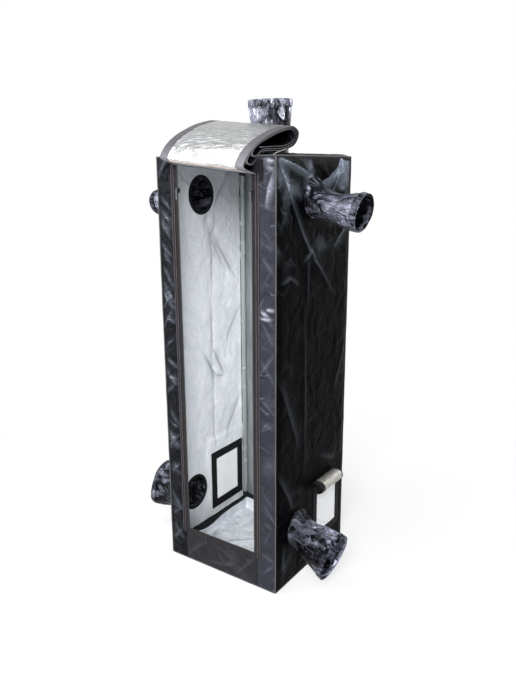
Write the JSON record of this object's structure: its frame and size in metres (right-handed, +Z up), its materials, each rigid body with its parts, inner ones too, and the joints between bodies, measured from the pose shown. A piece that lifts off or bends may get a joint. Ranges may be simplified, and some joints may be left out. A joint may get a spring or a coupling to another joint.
{
  "type": "indoor grow tent",
  "caption": "Tall square cloth cabinet on a tube frame with a rolled-up front door, drooping duct sleeves, screened vents and a floor tray.",
  "frame": {"origin": "centre of the base sheet's underside, on the floor", "axes": "+Z up, the doorway faces -Y, +X is the right-hand wall seen from the front"},
  "size_m": [0.7398, 0.481, 1.3994],
  "materials": {
    "black_cloth": "coated woven cloth, slight sheen",
    "silver_lining": "crinkled silver film lining",
    "black_webbing": "matt woven binding",
    "pale_webbing": "matt woven strap",
    "white_tube": "smooth white paint",
    "black_plastic": "moulded, matt",
    "net": "fine open net",
    "zip_tape": "woven tape with moulded teeth",
    "zip_metal": "dark plated zinc"
  },
  "bodies": {
    "tent": {"corner_bottom_front_left": "black_plastic", "corner_bottom_front_right": "black_plastic", "corner_bottom_back_left": "black_plastic", "corner_bottom_back_right": "black_plastic", "corner_top_front_left": "black_plastic", "corner_top_front_right": "black_plastic", "corner_top_back_left": "black_plastic", "corner_top_back_right": "black_plastic", "upright_lower_front_left": "white_tube", "upright_lower_front_right": "white_tube", "upright_lower_back_left": "white_tube", "upright_lower_back_right": "white_tube", "upright_upper_front_left": "white_tube", "upright_upper_front_right": "white_tube", "upright_upper_back_left": "white_tube", "upright_upper_back_right": "white_tube", "rail_bottom_front": "white_tube", "rail_bottom_back": "white_tube", "rail_bottom_left": "white_tube", "rail_bottom_right": "white_tube", "rail_top_front": "white_tube", "rail_top_back": "white_tube", "rail_top_left": "white_tube", "rail_top_right": "white_tube", "wall_left": "black_cloth", "wall_right": "black_cloth", "wall_back": "black_cloth", "roof_panel": "black_cloth", "base_panel": "black_cloth", "front_strip_left": "black_cloth", "front_strip_right": "black_cloth", "front_sill": "black_cloth", "front_header": "black_cloth", "vent_border_left": "black_webbing", "vent_border_right": "black_webbing", "vent_net_left": "net", "vent_net_right": "net", "duct_right_upper_sleeve": "black_cloth", "duct_right_lower_sleeve": "black_cloth", "duct_left_upper_sleeve": "black_cloth", "duct_left_lower_sleeve": "black_cloth", "duct_roof_sleeve": "black_cloth", "door_tie": "pale_webbing", "door_zip": "zip_tape"},
    "door": {"door_roll": "silver_lining"},
    "bar": {"hanging_bar": "white_tube"},
    "tray": {"floor_tray": "silver_lining", "floor_tray_binding": "black_webbing"},
    "left_vent_flap": {"vent_flap_left": "silver_lining"},
    "right_vent_flap": {"vent_flap_right": "silver_lining"},
    "left_slider": {"zip_slider_left": "zip_metal"},
    "right_slider": {"zip_slider_right": "zip_metal"},
    "left_pull": {"zip_pull_left": "zip_metal"},
    "right_pull": {"zip_pull_right": "zip_metal"},
    "right_upper_hem": {"duct_right_upper_hem": "black_cloth"},
    "right_lower_hem": {"duct_right_lower_hem": "black_cloth"},
    "left_upper_hem": {"duct_left_upper_hem": "black_cloth"},
    "left_lower_hem": {"duct_left_lower_hem": "black_cloth"},
    "roof_hem": {"duct_roof_hem": "black_cloth"}
  },
  "joints": [
    {"name": "door_lift", "type": "hinge", "parent": "tent", "child": "door", "pos_m": [0, -0.2009, 1.1945], "axis": [1, 0, 0], "range_deg": [0, 60]},
    {"name": "bar_slide", "type": "slide", "parent": "tent", "child": "bar", "axis": [0, 1, 0], "range_m": [-0.13, 0.13]},
    {"name": "tray_lift", "type": "slide", "parent": "tent", "child": "tray", "axis": [0, 0, 1], "range_m": [0, 0.1]},
    {"name": "left_flap_lift", "type": "hinge", "parent": "tent", "child": "left_vent_flap", "pos_m": [-0.2009, 0.073, 0.2712], "axis": [0, 1, 0], "range_deg": [0, 80]},
    {"name": "right_flap_lift", "type": "hinge", "parent": "tent", "child": "right_vent_flap", "pos_m": [0.2009, 0.073, 0.2712], "axis": [0, -1, 0], "range_deg": [0, 80]},
    {"name": "left_zip_run", "type": "slide", "parent": "tent", "child": "left_slider", "axis": [0, 0, 1], "range_m": [-1.028, 0]},
    {"name": "right_zip_run", "type": "slide", "parent": "tent", "child": "right_slider", "axis": [0, 0, 1], "range_m": [-1.028, 0]},
    {"name": "left_pull_swing", "type": "hinge", "parent": "left_slider", "child": "left_pull", "pos_m": [-0.125, -0.2057, 1.1521], "axis": [-1, 0, 0], "range_deg": [0, 60]},
    {"name": "right_pull_swing", "type": "hinge", "parent": "right_slider", "child": "right_pull", "pos_m": [0.125, -0.2057, 1.1521], "axis": [-1, 0, 0], "range_deg": [0, 60]},
    {"name": "right_upper_hem_slide", "type": "slide", "parent": "tent", "child": "right_upper_hem", "axis": [0.9709, 0, -0.2395], "range_m": [-0.1, 0], "deforming": ["duct_right_upper_sleeve"]},
    {"name": "right_lower_hem_slide", "type": "slide", "parent": "tent", "child": "right_lower_hem", "axis": [0.9305, -0.1241, -0.3446], "range_m": [-0.06, 0], "deforming": ["duct_right_lower_sleeve"]},
    {"name": "left_upper_hem_slide", "type": "slide", "parent": "tent", "child": "left_upper_hem", "axis": [-0.9882, 0, -0.1529], "range_m": [-0.11, 0], "deforming": ["duct_left_upper_sleeve"]},
    {"name": "left_lower_hem_slide", "type": "slide", "parent": "tent", "child": "left_lower_hem", "axis": [-0.9877, 0.1162, -0.1046], "range_m": [-0.11, 0], "deforming": ["duct_left_lower_sleeve"]},
    {"name": "roof_hem_slide", "type": "slide", "parent": "tent", "child": "roof_hem", "axis": [0, -0.0382, 0.9993], "range_m": [-0.1, 0], "deforming": ["duct_roof_sleeve"]}
  ]
}
